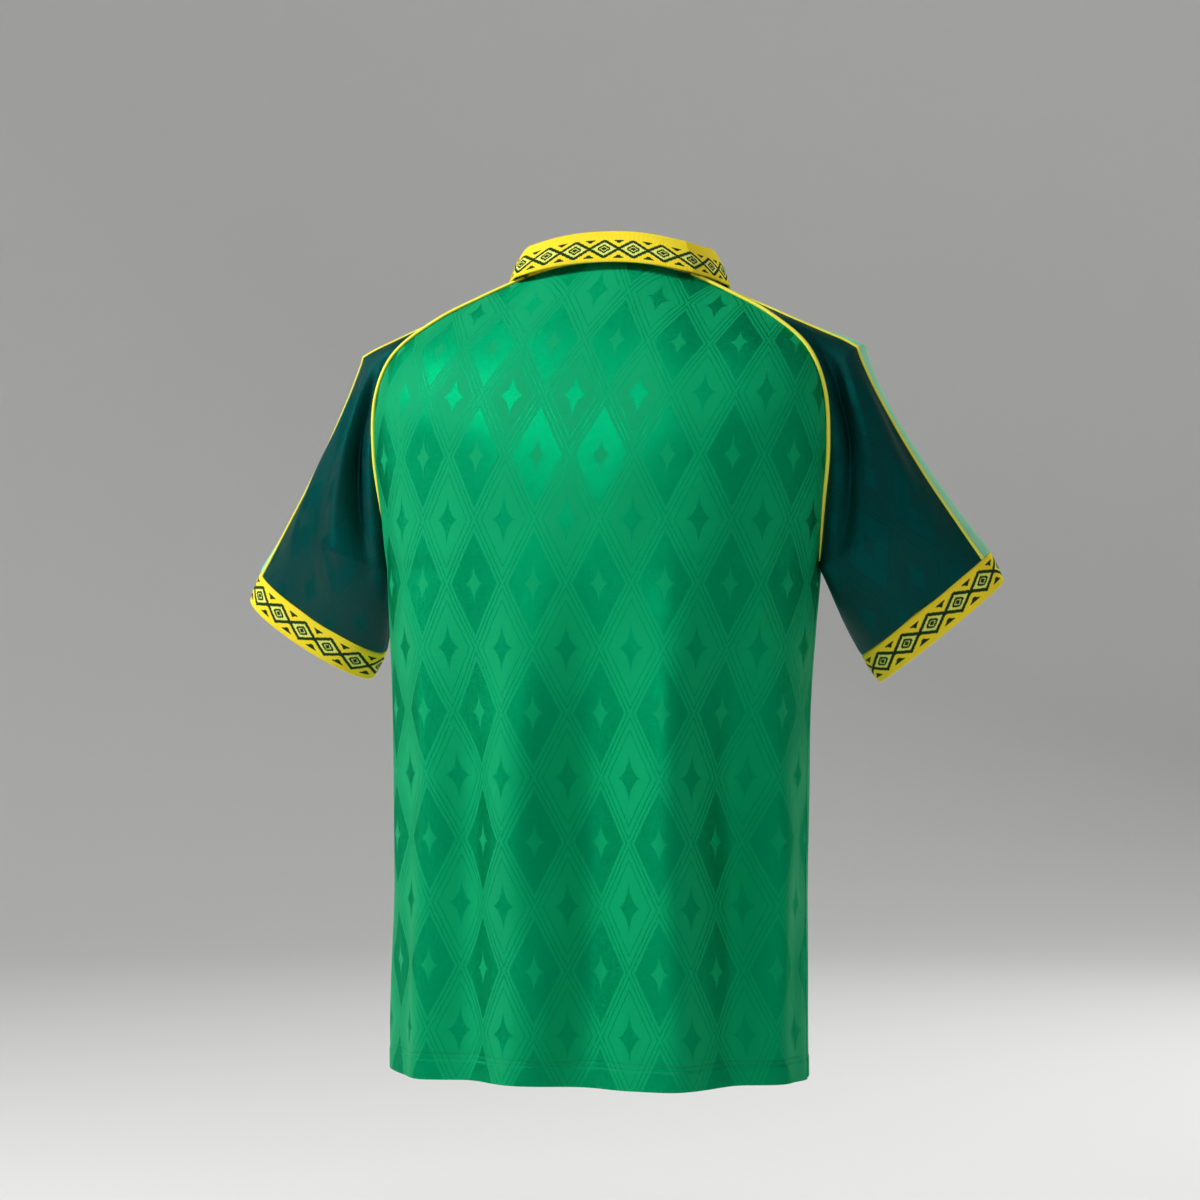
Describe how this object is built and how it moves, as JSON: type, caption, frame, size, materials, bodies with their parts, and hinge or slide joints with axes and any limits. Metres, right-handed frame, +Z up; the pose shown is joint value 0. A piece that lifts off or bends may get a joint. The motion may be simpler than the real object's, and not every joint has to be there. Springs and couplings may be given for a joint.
{
  "type": "football jersey",
  "caption": "Short-sleeved raglan football jersey in its hollow worn shape, with a fold-over knit collar, knit cuffs, piped raglan seams and a band along the sleeve tops.",
  "frame": {"origin": "on the upright axis through the middle of the hem, level with the shoulders beside the collar, where a wearer or a bust carries the jersey", "axes": "+Z up along the body, -Y to the front, +X to the garment's left side"},
  "size_m": [0.738, 0.2581, 0.7778],
  "materials": {
    "body_satin": "emerald satin knit with a tonal woven figure",
    "sleeve_satin": "dark teal satin knit with a tonal woven figure",
    "rib_knit": "yellow rib knit with a dark green zig-zag ornament",
    "piping_cord": "yellow satin piping",
    "band_cloth": "pale mint knit"
  },
  "bodies": {
    "root": {"front_panel": "body_satin", "back_panel": "body_satin", "sleeve_left": "sleeve_satin", "sleeve_right": "sleeve_satin", "cuff_left": "rib_knit", "cuff_right": "rib_knit", "collar": "rib_knit", "raglan_piping_back_left": "piping_cord", "raglan_piping_front_left": "piping_cord", "band_piping_back_left": "piping_cord", "band_piping_front_left": "piping_cord", "raglan_piping_back_right": "piping_cord", "raglan_piping_front_right": "piping_cord", "band_piping_back_right": "piping_cord", "band_piping_front_right": "piping_cord", "shoulder_band_left": "band_cloth", "shoulder_band_right": "band_cloth"}
  },
  "joints": []
}
